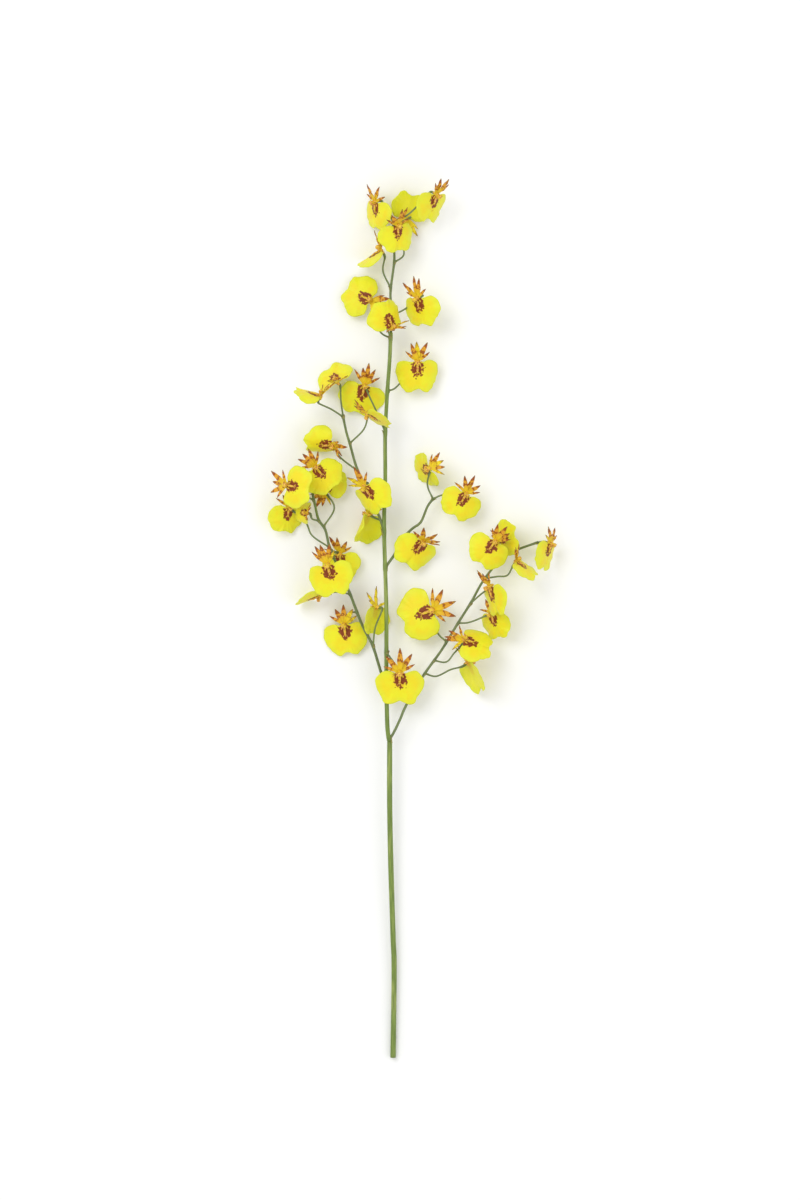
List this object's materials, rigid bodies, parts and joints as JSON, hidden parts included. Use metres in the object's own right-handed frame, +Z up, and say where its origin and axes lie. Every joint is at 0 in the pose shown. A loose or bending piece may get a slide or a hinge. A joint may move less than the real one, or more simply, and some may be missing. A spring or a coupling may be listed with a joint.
{
  "type": "cut orchid spray",
  "caption": "Long cut spray of yellow dancing-lady orchid flowers with brown-spotted throats on a thin branching green stem, lying flat on a surface.",
  "frame": {"origin": "bottom centre of the whole spray's box, on the surface it lies on", "axes": "+X to the right of the spray seen from above, +Y from the cut end toward the tip, +Z up off the surface"},
  "size_m": [0.262, 0.7936, 0.0592],
  "materials": {
    "stem": "satin mid-green stem, slightly greyer on the thin branches",
    "petal": "soft matt lemon-yellow petals with red-brown marks round the throat and brown bars on the narrow tepals"
  },
  "bodies": {
    "root": {"lower_stem": "stem", "middle_stem": "stem", "upper_stem": "stem", "left_upper_branch": "stem", "left_lower_branch": "stem", "right_middle_branch": "stem", "right_lower_branch": "stem", "flower_01": "petal", "flower_02": "petal", "flower_03": "petal", "flower_04": "petal", "flower_05": "petal", "flower_06": "petal", "flower_07": "petal", "flower_08": "petal", "flower_09": "petal", "flower_10": "petal", "flower_11": "petal", "flower_12": "petal", "flower_13": "petal", "flower_14": "petal", "flower_15": "petal", "flower_16": "petal", "flower_17": "petal", "flower_18": "petal", "flower_19": "petal", "flower_20": "petal", "flower_21": "petal", "flower_22": "petal", "flower_23": "petal", "flower_24": "petal", "flower_25": "petal", "flower_26": "petal", "flower_27": "petal", "flower_28": "petal", "flower_29": "petal", "flower_30": "petal", "flower_31": "petal", "flower_32": "petal", "flower_33": "petal", "flower_34": "petal", "flower_35": "petal", "flower_36": "petal", "flower_37": "petal", "flower_38": "petal", "flower_39": "petal"}
  },
  "joints": []
}
